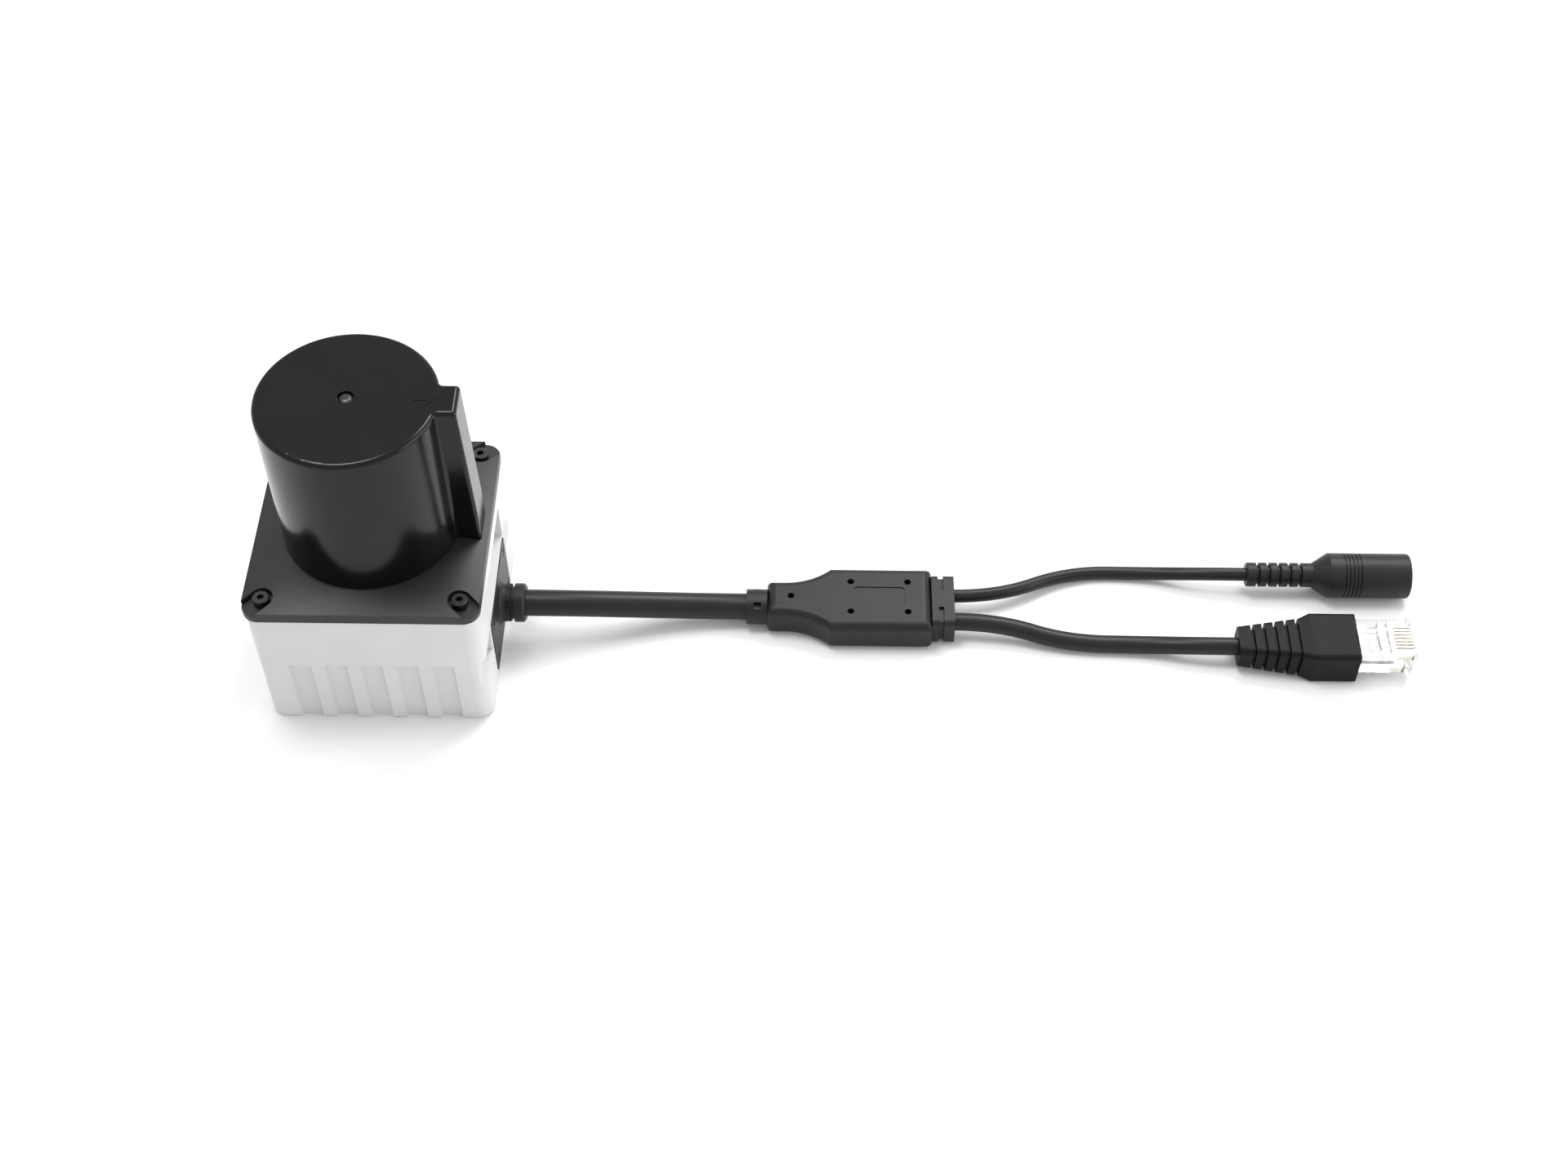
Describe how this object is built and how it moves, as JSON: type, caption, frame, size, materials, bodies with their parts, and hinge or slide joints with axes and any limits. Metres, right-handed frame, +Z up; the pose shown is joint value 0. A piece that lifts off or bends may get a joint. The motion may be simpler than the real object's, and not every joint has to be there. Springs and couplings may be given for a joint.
{
  "type": "lidar scanner module",
  "caption": "Compact scanning lidar: white square housing, black cover plate and tall glossy window hood, with a moulded split cable ending in a barrel jack and a network plug.",
  "frame": {"origin": "centre of the housing's base, on the surface that it stands on", "axes": "+Z up along the scan axis, +X towards the side where the cable leaves, -Y towards the front ribbed side"},
  "size_m": [0.2764, 0.054, 0.0816],
  "materials": {
    "white_housing": "satin powder coat",
    "seal_rubber": "matt",
    "black_cover_plate": "fine satin texture",
    "black_steel_screws": "black oxide",
    "window_gloss_black": "polished infrared window",
    "black_satin_plastic": "moulded satin",
    "cable_moulding": "fine moulded texture",
    "cable_jacket": "satin jacket",
    "circuit_board": "solder mask",
    "chip_plastic": "matt",
    "header_plastic": "matt",
    "brass_parts": "turned",
    "steel_parts": "turned",
    "aluminium_parts": "machined",
    "stator_steel": "laminated",
    "copper_wire": "enamelled",
    "magnet_black": "nickel plated",
    "encoder_steel": "etched sheet",
    "inner_black_plastic": "matt",
    "mirror_glass": "polished",
    "lens_glass": "polished",
    "flex_film": "film",
    "boot_rubber": "soft matt",
    "clear_plug_plastic": "clear polycarbonate",
    "gold_contacts": "plated",
    "wire_insulation": "pale conductor insulation"
  },
  "bodies": {
    "scanner": {"housing": "white_housing", "cover_seal": "seal_rubber", "top_cover": "black_cover_plate", "cover_screws": "black_steel_screws", "window_hood": "window_gloss_black", "hood_seal": "seal_rubber", "hood_screw": "black_steel_screws", "cable_flange": "black_satin_plastic", "flange_gasket": "seal_rubber", "flange_screws": "black_steel_screws", "strain_relief": "cable_moulding", "inner_lead": "cable_jacket", "main_board": "circuit_board", "board_chips": "chip_plastic", "cable_header": "header_plastic", "board_standoffs": "brass_parts", "board_screws": "steel_parts", "motor_mount": "aluminium_parts", "motor_mount_screws": "steel_parts", "lower_bearing": "steel_parts", "upper_bearing": "steel_parts", "stator_core": "stator_steel", "stator_coils": "copper_wire", "encoder_sensor": "chip_plastic", "optics_frame": "inner_black_plastic", "optics_frame_screws": "steel_parts", "receiver_lens": "lens_glass", "lens_ring": "inner_black_plastic", "emitter_tube": "brass_parts", "detector_board": "circuit_board", "detector_chip": "chip_plastic", "flex_cable": "flex_film", "main_cable": "cable_jacket", "splitter_inlet": "cable_moulding", "splitter_body": "cable_moulding", "splitter_outlet": "cable_moulding", "dc_cable": "cable_jacket", "jack_relief": "cable_moulding", "jack_body": "cable_moulding", "jack_liner": "steel_parts", "jack_pin": "steel_parts", "network_cable": "cable_jacket", "plug_boot": "boot_rubber", "network_plug": "clear_plug_plastic", "plug_contacts": "gold_contacts", "plug_wires": "wire_insulation"},
    "scan_rotor": {"rotor_shaft": "steel_parts", "rotor_bell": "aluminium_parts", "rotor_magnets": "magnet_black", "encoder_disc": "encoder_steel", "mirror_carrier": "inner_black_plastic", "carrier_screws": "steel_parts", "scan_mirror": "mirror_glass"},
    "latch": {"plug_latch": "clear_plug_plastic"}
  },
  "joints": [
    {"name": "rotor_spin", "type": "hinge", "parent": "scanner", "child": "scan_rotor", "pos_m": [0, 0, 0.035], "axis": [0, 0, 1], "continuous": true},
    {"name": "latch_press", "type": "hinge", "parent": "scanner", "child": "latch", "pos_m": [0.2454, -0.0059, 0.00275], "axis": [0, 1, 0], "range_deg": [0, 5], "stiffness_Nm_per_rad": 0.05}
  ]
}
